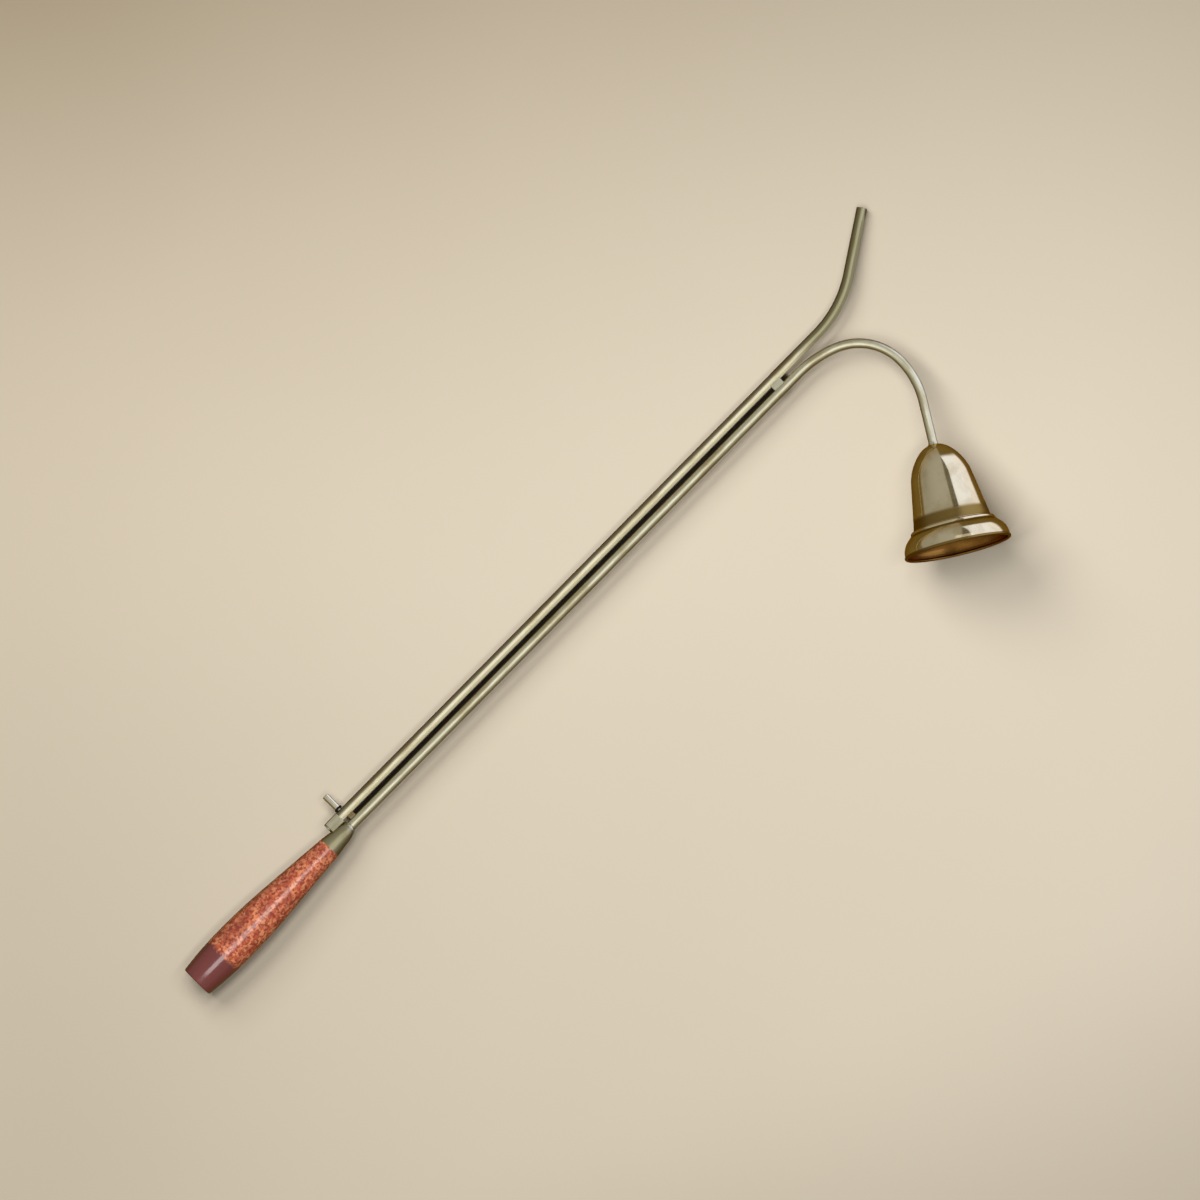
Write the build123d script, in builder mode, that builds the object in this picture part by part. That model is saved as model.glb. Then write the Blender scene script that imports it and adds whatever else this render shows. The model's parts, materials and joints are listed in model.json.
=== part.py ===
"""Candle lighter and snuffer: a snuffer bell on a gooseneck rod and a taper tube with a sliding carrier.

All lengths are in millimetres. The pieces are drawn on one board, REST: x runs along the rod from the
butt of the handle, y points to the taper tube's side, z points up from the board. REST lies the way the
tool lies on a table, on the handle's belly, the bell's rim and the tube's tip, so the table is z = 0.
"""
import os

from build123d import *

# Handle: turned wood on the rod's tang
handle_length = 113.0
butt_d = 20.6
belly_d = 24.8
swell_d = 21.8
neck_d = 14.2
belly_share = 0.28
swell_share = 0.6
butt_edge = 0.9
tenon_length = 10.0
tang_length = 70.0

# Ferrule: brass cup over the handle's tenon
ferrule_length = 17.2
ferrule_taper = 1.75
ferrule_wall = 0.8
ferrule_lip = 0.6
nose_share = 0.7

# Snuffer arm: one brass rod, three bends and a drop to the bell, drawn thinner over the gooseneck
rod_d = 6.0
drop_d = 5.4
shaft_length = 381.6
lead_radius = 70.0
lead_angle = 22.0
crook_radius = 35.3
crook_angle = 68.0
drop_radius = 52.0
drop_angle = 31.7
drop_length = 27.4
stud_d = 4.0
stud_tail = 1.4

# Taper tube: bedded on the ferrule, bent outwards at the tip
tube_d = 6.35
tube_wall = 0.5
tube_bed = 0.3
bend_lag = 24.4
tip_radius = 70.0
tip_angle = 33.5
tip_length = 41.0

# Saddle that holds the tube's lower end on the ferrule, and the plug in that end
saddle_length = 9.2
saddle_wall = 0.8
saddle_rise = 2.4
saddle_drop = 4.5
saddle_bevel = 0.35
plug_length = 7.0
plug_head = 0.9
plug_bevel = 0.4

# Spacers between rod and tube
lower_spacer_length = 4.0
lower_spacer_thickness = 2.6
lower_spacer_gap = 3.9
upper_spacer_length = 7.3
upper_spacer_thickness = 4.4
upper_spacer_setback = 9.8

# Slide: knob, collar and carrier
knob_rest = 2.9
knob_d = 4.2
knob_waist_d = 3.8
knob_length = 10.4
knob_rim = 1.0
knob_dome = 0.4
stem_d = 2.4
stem_depth = 1.2
collar_d = 5.2
collar_height = 1.2
collar_bevel = 0.3
carrier_length = 20.0
carrier_heel = 2.6
carrier_stop = 20.0
carrier_bevel = 0.4
socket_d = 4.1
socket_depth = 14.0
slit_width = 0.8
slit_length = 12.0

# Bell: spun brass, hung from its crown
bell_height = 64.4
mouth_d = 65.4
crown_d = 20.4
shoulder_d = 37.0
waist_d = 46.4
bead_seat_d = 50.6
flare_d = 57.2
crown_share = 0.065
shoulder_share = 0.303
waist_share = 0.722
bead_share = 0.785
flare_share = 0.8355
lip_share = 0.955
crown_slope_share = 0.3
crown_margin = 0.6
crown_wall = 1.8
bell_wall = 0.9
bead_d = 2.6
bead_sink = 0.7
rim_bead_d = 2.0
washer_d = 9.0
washer_thickness = 0.8
nut_side_count = 6
nut_flats = 7.0
nut_height = 3.2
nut_bevel = 0.5

# Fits: soldered or glued, sliding, and the room round the slot
solder_gap = 0.03
stem_fit = 0.02
running_fit = 0.08
slide_gap = 0.3
slot_side_gap = 0.2
cut_overrun = 2.0

# Rounds of the search for the plane the tool lies on
rest_rounds = 12

# Radii and stations worked out from the sizes above
butt_r = butt_d / 2
belly_r = belly_d / 2
neck_r = neck_d / 2
nose_r = neck_r - ferrule_taper
tenon_r = nose_r - ferrule_wall
rod_r = rod_d / 2
drop_r = drop_d / 2
stud_r = stud_d / 2
tube_r = tube_d / 2
bore_r = tube_r - tube_wall
stem_r = stem_d / 2
carrier_r = bore_r - running_fit
mouth_r = mouth_d / 2
bead_seat_r = bead_seat_d / 2
rim_bead_r = rim_bead_d / 2
lip_r = mouth_r - rim_bead_r + bell_wall / 2

tube_pitch = nose_r + tube_r + tube_bed
belly_x = handle_length * belly_share
nose_x = handle_length + ferrule_length * nose_share
ferrule_x = handle_length + ferrule_length
tenon_x = handle_length + tenon_length
tang_x = tenon_x - tang_length
crook_x = ferrule_x + shaft_length
saddle_x = ferrule_x - saddle_length
bend_x = crook_x + bend_lag
knob_x = ferrule_x + knob_rest
carrier_x = knob_x - carrier_heel
slide_travel = bend_x - carrier_stop - carrier_length - carrier_x
collar_y = tube_pitch + tube_r + slide_gap
knob_y = collar_y + collar_height


def neck_route(board):
    """Axis of the gooseneck on a board: three bends and the drop, from the end of the straight shaft."""
    with BuildLine(board) as route:
        lead = JernArc((crook_x, 0), (1, 0), lead_radius, -lead_angle)
        crook = JernArc(lead @ 1, lead % 1, crook_radius, -crook_angle)
        drop = JernArc(crook @ 1, crook % 1, drop_radius, -drop_angle)
        Line(drop @ 1, drop @ 1 + (drop % 1) * drop_length)
    return route.wire()


def tube_route(board):
    """Axis of the taper tube on a board: straight run, one bend and the straight tip."""
    with BuildLine(board) as route:
        run = Line((saddle_x, tube_pitch), (bend_x, tube_pitch))
        bend = JernArc(run @ 1, run % 1, tip_radius, tip_angle)
        Line(bend @ 1, bend @ 1 + (bend % 1) * tip_length)
    return route.wire()


def far_point(ring, way):
    """Point of a ring (centre, axis, radius, edge radius) that lies furthest along a unit direction."""
    centre, axis, radius, edge_radius = ring
    across = way - axis * axis.dot(way)
    return centre + across.normalized() * radius + way * edge_radius


def rest_board():
    """Board that puts the tool on the table z = 0, with the origin under the middle of its bounding box."""
    neck, tube = neck_route(Plane.XY), tube_route(Plane.XY)
    along = Vector(1, 0, 0)
    rim_centre = neck @ 1 + (neck % 1) * (bell_height - rim_bead_r)
    rim_ring = (rim_centre, neck % 1, mouth_r - rim_bead_r, rim_bead_r)
    tip_ring = (tube @ 1, tube % 1, tube_r, 0)
    belly_ring = (along * belly_x, along, belly_r, 0)
    butt_ring = (Vector(0, 0, 0), along, butt_r - butt_edge, 0)

    up = Vector(0, 0, 1)
    for _ in range(rest_rounds):
        feet = [far_point(ring, -up) for ring in (belly_ring, rim_ring, tip_ring)]
        belly_foot, rim_foot, tip_foot = feet
        up = (rim_foot - belly_foot).cross(tip_foot - belly_foot).normalized()
    forward = (along - up * up.dot(along)).normalized()
    side = up.cross(forward)

    x_ends = far_point(butt_ring, -forward).dot(forward) + far_point(tip_ring, forward).dot(forward)
    y_ends = far_point(rim_ring, -side).dot(side) + far_point(tip_ring, side).dot(side)
    table_origin = forward * (x_ends / 2) + side * (y_ends / 2) + up * belly_foot.dot(up)
    table = Plane(table_origin, x_dir=forward, z_dir=up)
    return Plane(table.location.inverse())


REST = rest_board()
shaft_axis = Axis(REST.origin, REST.x_dir)
knob_axis = Axis(REST.from_local_coords((knob_x, 0, 0)), REST.y_dir)


def station(x, y):
    """Plane square to the rod, x along it and y to the side, facing the tip."""
    return Plane(REST.from_local_coords((x, y, 0)), x_dir=REST.y_dir, z_dir=REST.x_dir)


def facing_side(x, y):
    """Plane parallel to the rod and facing the taper tube's side."""
    return Plane(REST.from_local_coords((x, y, 0)), x_dir=REST.x_dir, z_dir=REST.y_dir)


def ferrule_outline(grow):
    """Skirt and rounded nose of the ferrule, grown by a gap, in the line block that calls it."""
    skirt = Line((handle_length, neck_r + grow), (nose_x, nose_r + grow))
    nose = TangentArc(skirt @ 1, (ferrule_x + grow, rod_r + ferrule_lip + grow), tangent=skirt % 1)
    return skirt @ 0, nose @ 1


def bell_route():
    """Outside of the bell's wall, radius against depth below the crown: dome, body, flare and lip band."""
    shoulder = (shoulder_d / 2, bell_height * shoulder_share)
    waist = (waist_d / 2, bell_height * waist_share)
    flare = (flare_d / 2, bell_height * flare_share)
    with BuildLine() as route:
        dome = TangentArc(
            (drop_r + crown_margin, 0),
            (crown_d / 2, bell_height * crown_share),
            tangent=(1, crown_slope_share),
        )
        turn = TangentArc(dome @ 1, shoulder, tangent=dome % 1)
        body = Line(turn @ 1, waist)
        skirt = TangentArc(body @ 1, (bead_seat_r, bell_height * bead_share), tangent=body % 1)
        spread = TangentArc(skirt @ 1, flare, tangent=skirt % 1)
        roll = TangentArc(spread @ 1, (lip_r, bell_height * lip_share), tangent=spread % 1)
        Line(roll @ 1, (lip_r, bell_height - rim_bead_r))
    return route.wire()


os.makedirs("parts", exist_ok=True)

# Handle: turned profile with a tenon for the ferrule, bored for the rod's tang
with BuildPart() as handle:
    with BuildSketch(REST):
        with BuildLine():
            belly = (belly_x, belly_r)
            swell = (handle_length * swell_share, swell_d / 2)
            heel = TangentArc(belly, (0, butt_r), tangent=(-1, 0))
            crest = TangentArc(belly, swell, tangent=(1, 0))
            neck = TangentArc(crest @ 1, (handle_length, neck_r), tangent=crest % 1)
            Polyline(
                neck @ 1,
                (handle_length, tenon_r),
                (tenon_x, tenon_r),
                (tenon_x, 0),
                (0, 0),
                heel @ 1,
            )
        make_face()
    revolve(axis=shaft_axis)
    butt_face = handle.faces().sort_by(shaft_axis)[0]
    fillet(butt_face.edges(), butt_edge)
    with Locations(station(tenon_x, 0)):
        Hole(rod_r + solder_gap, depth=tang_length + solder_gap)
handle.part.label = "handle"
export_step(handle.part, "parts/handle.step")

# Ferrule: cup with a socket for the tenon, a hole for the rod and a shallow bed for the tube
with BuildPart() as ferrule:
    with BuildSketch(REST):
        with BuildLine():
            skirt_start, nose_end = ferrule_outline(0)
            Polyline(
                nose_end,
                (ferrule_x, rod_r + solder_gap),
                (tenon_x + solder_gap, rod_r + solder_gap),
                (tenon_x + solder_gap, tenon_r + solder_gap),
                (handle_length, tenon_r + solder_gap),
                skirt_start,
            )
        make_face()
    revolve(axis=shaft_axis)
    with BuildSketch(station(saddle_x - plug_head - solder_gap, tube_pitch)):
        Circle(tube_r + solder_gap)
    extrude(amount=saddle_length + plug_head + cut_overrun, mode=Mode.SUBTRACT)
ferrule.part.label = "ferrule"
export_step(ferrule.part, "parts/ferrule.step")

# Snuffer arm: straight rod, tapering gooseneck, and the stud that goes through the bell's crown
neck_wire = neck_route(REST)
bell_way = neck_wire % 1
crown_plane = Plane(neck_wire @ 1, x_dir=REST.z_dir, z_dir=bell_way)
with BuildPart() as snuffer_arm:
    with BuildSketch(station(crook_x, 0)):
        Circle(rod_r)
    with BuildSketch(crown_plane):
        Circle(drop_r)
    sweep(path=neck_wire, multisection=True)
    with BuildSketch(station(tang_x, 0)):
        Circle(rod_r)
    extrude(amount=crook_x - tang_x)
    with BuildSketch(crown_plane):
        Circle(stud_r)
    extrude(amount=crown_wall + washer_thickness + nut_height + stud_tail)
snuffer_arm.part.label = "snuffer_arm"
export_step(snuffer_arm.part, "parts/snuffer_arm.step")

# Taper tube: a ring swept along its route, with the knob's slot along its outer side
tube_wire = tube_route(REST)
slot_length = slide_travel + stem_d + 2 * slot_side_gap
with BuildPart() as taper_tube:
    with BuildSketch(station(saddle_x, tube_pitch)):
        Circle(tube_r)
        Circle(bore_r, mode=Mode.SUBTRACT)
    sweep(path=tube_wire)
    with BuildSketch(facing_side(knob_x + slide_travel / 2, tube_pitch)):
        SlotOverall(slot_length, stem_d + 2 * slot_side_gap)
    extrude(amount=tube_r + cut_overrun, mode=Mode.SUBTRACT)
taper_tube.part.label = "taper_tube"
export_step(taper_tube.part, "parts/taper_tube.step")

# Tube saddle: a flat-sided channel, open outwards, cut to sit over the ferrule
saddle_depth = saddle_rise + saddle_drop
with BuildPart() as tube_saddle:
    with BuildSketch(station(saddle_x, tube_pitch)):
        with Locations(((saddle_rise - saddle_drop) / 2, 0)):
            Rectangle(saddle_depth, tube_d + 2 * saddle_wall)
    extrude(amount=saddle_length)
    flat_sides = tube_saddle.faces().filter_by(Axis((0, 0, 0), REST.z_dir))
    chamfer(flat_sides.edges(), saddle_bevel)
    with BuildSketch(station(saddle_x, tube_pitch)):
        Circle(tube_r + solder_gap)
        with Locations((saddle_rise / 2, 0)):
            Rectangle(saddle_rise + 2 * solder_gap, 2 * (tube_r + solder_gap))
    extrude(amount=saddle_length, mode=Mode.SUBTRACT)
    with BuildSketch(REST):
        with BuildLine():
            skirt_start, nose_end = ferrule_outline(solder_gap)
            Polyline(nose_end, (ferrule_x + solder_gap, 0), (handle_length, 0), skirt_start)
        make_face()
    revolve(axis=shaft_axis, mode=Mode.SUBTRACT)
tube_saddle.part.label = "tube_saddle"
export_step(tube_saddle.part, "parts/tube_saddle.step")

# Tail plug: closes the tube's lower end
with BuildPart() as tail_plug:
    with BuildSketch(station(saddle_x, tube_pitch)):
        Circle(tube_r)
    extrude(amount=-plug_head)
    chamfer(tail_plug.faces().sort_by(shaft_axis)[0].edges(), plug_bevel)
    with BuildSketch(station(saddle_x, tube_pitch)):
        Circle(bore_r - solder_gap)
    extrude(amount=plug_length)
tail_plug.part.label = "tail_plug"
export_step(tail_plug.part, "parts/tail_plug.step")


def spacer_section(x, thickness):
    """Bar between rod and tube, hollowed at both ends to fit them, on the plane square to the rod at x."""
    with BuildSketch(station(x, 0)) as section:
        with Locations((tube_pitch / 2, 0)):
            Rectangle(tube_pitch, thickness)
        Circle(rod_r + solder_gap, mode=Mode.SUBTRACT)
        with Locations((tube_pitch, 0)):
            Circle(tube_r + solder_gap, mode=Mode.SUBTRACT)
    return section.sketch


# Spacers: bridges soldered between rod and tube
with BuildPart() as lower_spacer:
    lower_section = spacer_section(ferrule_x + lower_spacer_gap, lower_spacer_thickness)
    extrude(lower_section, amount=lower_spacer_length)
lower_spacer.part.label = "lower_spacer"
export_step(lower_spacer.part, "parts/lower_spacer.step")

with BuildPart() as upper_spacer:
    upper_spacer_x = crook_x - upper_spacer_setback - upper_spacer_length
    upper_section = spacer_section(upper_spacer_x, upper_spacer_thickness)
    extrude(upper_section, amount=upper_spacer_length)
upper_spacer.part.label = "upper_spacer"
export_step(upper_spacer.part, "parts/upper_spacer.step")

# Thumb knob: waisted pin with a rim, on a stem that goes through collar and slot into the carrier
with BuildPart() as thumb_knob:
    with BuildSketch(REST):
        with BuildLine():
            foot = Polyline(
                (knob_x, tube_pitch - stem_depth),
                (knob_x + stem_r, tube_pitch - stem_depth),
                (knob_x + stem_r, knob_y),
                (knob_x + knob_waist_d / 2, knob_y),
            )
            rim = Line(
                (knob_x + knob_d / 2, knob_y + knob_length - knob_rim),
                (knob_x + knob_d / 2, knob_y + knob_length - knob_dome),
            )
            Line(foot @ 1, rim @ 0)
            dome = TangentArc(
                (knob_x, knob_y + knob_length),
                rim @ 1,
                tangent=(1, 0),
            )
            Line(dome @ 0, foot @ 0)
        make_face()
    revolve(axis=knob_axis)
thumb_knob.part.label = "thumb_knob"
export_step(thumb_knob.part, "parts/thumb_knob.step")

# Knob collar: ring between the knob and the tube
with BuildPart() as knob_collar:
    with BuildSketch(facing_side(knob_x, collar_y)):
        Circle(collar_d / 2)
        Circle(stem_r + stem_fit, mode=Mode.SUBTRACT)
    extrude(amount=collar_height)
    top_face = knob_collar.faces().sort_by(knob_axis)[-1]
    chamfer(top_face.outer_wire().edges(), collar_bevel)
knob_collar.part.label = "knob_collar"
export_step(knob_collar.part, "parts/knob_collar.step")

# Taper carrier: plunger with a split socket for the wax taper and a hole for the knob's stem
with BuildPart() as taper_carrier:
    with BuildSketch(station(carrier_x, tube_pitch)):
        Circle(carrier_r)
    extrude(amount=carrier_length)
    chamfer(taper_carrier.edges().filter_by(GeomType.CIRCLE), carrier_bevel)
    socket_plane = station(carrier_x + carrier_length, tube_pitch)
    with BuildSketch(socket_plane):
        Circle(socket_d / 2)
    extrude(amount=-socket_depth, mode=Mode.SUBTRACT)
    with BuildSketch(socket_plane):
        Rectangle(slit_width, 2 * (carrier_r + cut_overrun))
    extrude(amount=-slit_length, mode=Mode.SUBTRACT)
    with BuildSketch(facing_side(knob_x, tube_pitch - stem_depth - stem_fit)):
        Circle(stem_r + stem_fit)
    extrude(amount=tube_pitch, mode=Mode.SUBTRACT)
taper_carrier.part.label = "taper_carrier"
export_step(taper_carrier.part, "parts/taper_carrier.step")

# Bell: spun wall with a bead on the flare and a rolled rim, flat inside the crown and bored for the stud
bell_board = Plane(crown_plane.origin, x_dir=bell_way.cross(REST.z_dir), y_dir=bell_way)
bell_axis = Axis(crown_plane.origin, bell_way)
wall_wire = bell_route()
lining_wire = wall_wire.offset_2d(bell_wall, kind=Kind.INTERSECTION, side=Side.LEFT, closed=False)
lining_ends = lining_wire.vertices().sort_by(Axis.Y)
lining_top = Vector(lining_ends[0])
lining_lip = Vector(lining_ends[-1])
mouth_y = bell_height + cut_overrun
with BuildSketch() as hollow:
    with BuildLine():
        add(lining_wire)
        Polyline(lining_lip, (lining_lip.X, mouth_y), (0, mouth_y), (0, lining_top.Y), lining_top)
    make_face()
    Rectangle(mouth_d, crown_wall, align=(Align.CENTER, Align.MIN), mode=Mode.SUBTRACT)
with BuildPart() as bell:
    with BuildSketch(bell_board):
        with BuildLine():
            add(wall_wire)
            Polyline(wall_wire @ 1, (0, bell_height - rim_bead_r), (0, 0), wall_wire @ 0)
        make_face()
        with Locations((bead_seat_r - bead_sink, bell_height * bead_share)):
            Circle(bead_d / 2)
        with Locations((mouth_r - rim_bead_r, bell_height - rim_bead_r)):
            Circle(rim_bead_r)
        add(hollow.sketch, mode=Mode.SUBTRACT)
        Rectangle(stud_d + 2 * solder_gap, 2 * bell_height, mode=Mode.SUBTRACT)
    revolve(axis=bell_axis)
bell.part.label = "bell"
export_step(bell.part, "parts/bell.step")

# Washer and nut inside the crown
with BuildPart() as bell_washer:
    with BuildSketch(crown_plane.offset(crown_wall)):
        Circle(washer_d / 2)
        Circle(stud_r + solder_gap, mode=Mode.SUBTRACT)
    extrude(amount=washer_thickness)
bell_washer.part.label = "bell_washer"
export_step(bell_washer.part, "parts/bell_washer.step")

with BuildPart() as bell_nut:
    with BuildSketch(crown_plane.offset(crown_wall + washer_thickness)):
        RegularPolygon(nut_flats / 2, nut_side_count, major_radius=False)
        Circle(stud_r + solder_gap, mode=Mode.SUBTRACT)
    extrude(amount=nut_height)
    nut_face = bell_nut.faces().sort_by(bell_axis)[-1]
    chamfer(nut_face.outer_wire().edges(), nut_bevel)
bell_nut.part.label = "bell_nut"
export_step(bell_nut.part, "parts/bell_nut.step")
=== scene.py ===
"""Looks of a candle lighter and snuffer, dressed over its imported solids.

Sizes are in millimetres on the tool's own bench: x runs along the rod from the butt of the handle, y points
to the taper tube's side and z points up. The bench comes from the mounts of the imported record, so every
piece lands where its solid is. Only the studio is measured in metres.
"""
import json
import logging
import math
from dataclasses import dataclass, field
from enum import Enum
from typing import Any, Callable, Sequence

import bmesh
import bpy
from mathutils import Matrix, Quaternion, Vector


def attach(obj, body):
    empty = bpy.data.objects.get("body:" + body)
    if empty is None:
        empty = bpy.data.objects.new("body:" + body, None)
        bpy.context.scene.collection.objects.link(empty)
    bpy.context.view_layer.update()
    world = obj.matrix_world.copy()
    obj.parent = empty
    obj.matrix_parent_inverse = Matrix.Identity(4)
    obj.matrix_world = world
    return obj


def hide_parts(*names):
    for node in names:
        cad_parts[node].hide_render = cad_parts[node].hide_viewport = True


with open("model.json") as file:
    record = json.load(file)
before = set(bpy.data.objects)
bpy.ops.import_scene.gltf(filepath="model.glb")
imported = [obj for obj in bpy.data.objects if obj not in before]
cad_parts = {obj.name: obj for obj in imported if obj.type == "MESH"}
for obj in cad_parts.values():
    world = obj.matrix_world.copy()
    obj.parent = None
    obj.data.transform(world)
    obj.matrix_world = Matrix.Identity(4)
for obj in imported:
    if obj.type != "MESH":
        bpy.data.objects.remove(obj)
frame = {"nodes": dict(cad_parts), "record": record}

MM = 0.001
GRAIN = "grain"
SHARP_TURN = math.radians(26.0)
SEAM = 1e-6

Point = tuple[float, float]
Triple = tuple[float, float, float]
Ring = list[bmesh.types.BMVert]

log = logging.getLogger("snuffer")


class Body(str, Enum):
    """Bodies that the pieces ride on."""

    STAFF = "staff"
    SLIDER = "slider"


class Slot(str, Enum):
    """Material slots of the record."""

    WOOD = "turned_wood"
    BRASS = "brass"
    KNOB = "knob_brass"
    BELL = "bell_brass"
    COLLAR = "black_collar"


class Grain(Enum):
    """Where a finish takes the run of its grain from."""

    PIECE = "along the piece, as it was drawn or turned"
    BENCH = "along the bench"


class Lit(Enum):
    """What a lamp shines on, by the names of the pieces and solids; none means everything."""

    ALL = ()
    FLOOR = ("paper_floor",)
    HANDLE = ("turned_handle", "collar_ring")
    TUBE = ("slotted_tube",)
    RODS = (
        *("gooseneck_arm", "slotted_tube", "nose_solder", "thumb_pin", "ferrule"),
        *("tube_saddle", "tail_plug", "upper_spacer", "lower_spacer", "taper_carrier"),
    )


@dataclass(frozen=True)
class Bench:
    """Axes that a piece is drawn on, with their origin in metres."""

    origin: Vector
    along: Vector
    side: Vector
    up: Vector

    @classmethod
    def from_mounts(cls, mounts: Sequence[dict[str, Any]]) -> "Bench":
        """Bench of the whole tool.

        Args:
            mounts: the record's mounts, of which the butt and the taper mouth are used.

        Returns:
            The bench with its origin in the middle of the butt.
        """
        by_name = {mount["name"]: mount for mount in mounts}
        along = -Vector(by_name["butt"]["axis"]).normalized()
        up = along.cross(Vector(by_name["taper_mouth"]["axis"])).normalized()
        return cls(Vector(by_name["butt"]["pos_m"]), along, up.cross(along), up)

    def spot(self, x: float, y: float, z: float = 0.0) -> Vector:
        """Point of the bench, in metres."""
        return self.origin + (self.along * x + self.side * y + self.up * z) * MM

    def way(self, x: float, y: float, z: float = 0.0) -> Vector:
        """Direction on the bench."""
        return (self.along * x + self.side * y + self.up * z).normalized()

    def turned_to(self, spot: Vector, way: Vector) -> "Bench":
        """Bench whose x axis runs along a direction in this bench's plane.

        Args:
            spot: new origin, in metres.
            way: direction of the new x axis.

        Returns:
            The new bench, with the same up direction.
        """
        return Bench(spot, way, self.up.cross(way), self.up)


def tangent_arc(start: Point, way: Point, end: Point, steps: int = 16) -> list[Point]:
    """Points of the arc that leaves a point in a given direction and ends at another.

    Args:
        start: first point.
        way: direction at the first point.
        end: last point.
        steps: number of chords.

    Returns:
        The points, both ends included.
    """
    heading = Vector(way).normalized()
    chord = Vector(end) - Vector(start)
    lean = math.atan2(heading.x * chord.y - heading.y * chord.x, heading.dot(chord))
    if abs(lean) < 1e-4:
        return [start, end]
    radius = chord.length / (2 * math.sin(lean))
    inward = Vector((-heading.y, heading.x))
    points = []
    for step in range(steps + 1):
        turn = 2 * lean * step / steps
        spot = Vector(start) + heading * (radius * math.sin(turn)) + inward * (radius * (1 - math.cos(turn)))
        points.append((spot.x, spot.y))
    return points


def round_arc(centre: Point, radius: float, first: float, last: float, steps: int = 12) -> list[Point]:
    """Points of an arc about a centre.

    Args:
        centre: middle of the circle.
        radius: radius of the circle.
        first: angle of the first point, in degrees.
        last: angle of the last point, in degrees.
        steps: number of chords.

    Returns:
        The points, both ends included.
    """
    angles = [math.radians(first + (last - first) * step / steps) for step in range(steps + 1)]
    return [(centre[0] + radius * math.cos(a), centre[1] + radius * math.sin(a)) for a in angles]


def inset(points: Sequence[Point], depth: float) -> list[Point]:
    """Line that follows another on its right-hand side.

    Args:
        points: the first line.
        depth: distance between the lines.

    Returns:
        The second line, point for point.
    """
    moved = []
    for index, point in enumerate(points):
        before, after = points[max(index - 1, 0)], points[min(index + 1, len(points) - 1)]
        way = (Vector(after) - Vector(before)).normalized()
        moved.append((point[0] + way.y * depth, point[1] - way.x * depth))
    return moved


def with_bead(points: Sequence[Point], centre: Point, radius: float, steps: int = 18) -> list[Point]:
    """Line with a round bead standing out of it on its left-hand side.

    Args:
        points: the line, which enters and leaves the bead's circle once.
        centre: middle of the bead.
        radius: radius of the bead.
        steps: number of chords round the bead.

    Returns:
        The line with the bead in it.
    """
    covered = [index for index, point in enumerate(points) if math.dist(point, centre) < radius]
    before, after = points[: covered[0]], points[covered[-1] + 1 :]
    first, last = (
        math.degrees(math.atan2(point[1] - centre[1], point[0] - centre[0])) for point in (before[-1], after[0])
    )
    while first < last:
        first += 360.0
    return [*before, *round_arc(centre, radius, first, last, steps), *after]


class Outline:
    """Pen that draws the half section of a turned piece, as distance along the axis and radius."""

    def __init__(self, start: Point) -> None:
        """Puts the pen down."""
        self.points: list[Point] = [start]
        self.way: Point = (1.0, 0.0)

    def line(self, end: Point) -> "Outline":
        """Draws a straight stretch to a point."""
        return self.along([end])

    def arc(self, end: Point, way: Point | None = None, steps: int = 16) -> "Outline":
        """Draws an arc that leaves in a direction, by default the one the pen arrived in.

        Args:
            end: last point of the arc.
            way: direction at its first point.
            steps: number of chords.

        Returns:
            The pen.
        """
        start, heading = Vector(self.points[-1]), Vector(way or self.way).normalized()
        chord = (Vector(end) - start).normalized()
        self.along(tangent_arc(self.points[-1], tuple(heading), end, steps))
        self.way = tuple(chord * (2 * chord.dot(heading)) - heading)
        return self

    def along(self, points: Sequence[Point]) -> "Outline":
        """Draws through ready points, leaving out a first one that the pen is on already."""
        for point in points:
            last = self.points[-1]
            if math.dist(last, point) > SEAM:
                self.way = (point[0] - last[0], point[1] - last[1])
                self.points.append(point)
        return self


class Route:
    """Pen that draws the axis of a rod or tube on the bench as runs and bends."""

    def __init__(self, start: Point) -> None:
        """Puts the pen down, heading along the bench's x axis."""
        self.spots: list[Vector] = [Vector(start)]
        self.headings: list[float] = [0.0]
        self.lengths: list[float] = [0.0]

    def run(self, length: float, stops: int = 1) -> "Route":
        """Goes straight on for a length, with that many stops on the way."""
        for _ in range(stops):
            heading = self.headings[-1]
            step = Vector((math.cos(heading), math.sin(heading))) * (length / stops)
            self._add(self.spots[-1] + step, heading, length / stops)
        return self

    def bend(self, radius: float, degrees: float, chord: float = 1.5) -> "Route":
        """Bends to the left by an angle, or to the right by a negative one.

        Args:
            radius: bend radius at the axis.
            degrees: angle of the bend.
            chord: angle of each chord, in degrees.

        Returns:
            The pen.
        """
        count = max(2, math.ceil(abs(degrees) / chord))
        turn = math.radians(degrees) / count
        hand = math.copysign(1.0, degrees)
        for _ in range(count):
            before = self.headings[-1]
            after = before + turn
            shift = Vector((math.sin(after) - math.sin(before), math.cos(before) - math.cos(after)))
            self._add(self.spots[-1] + shift * (radius * hand), after, abs(turn) * radius)
        return self

    def _add(self, spot: Vector, heading: float, length: float) -> None:
        """Adds a stop."""
        self.spots.append(spot)
        self.headings.append(heading)
        self.lengths.append(self.lengths[-1] + length)


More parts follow.
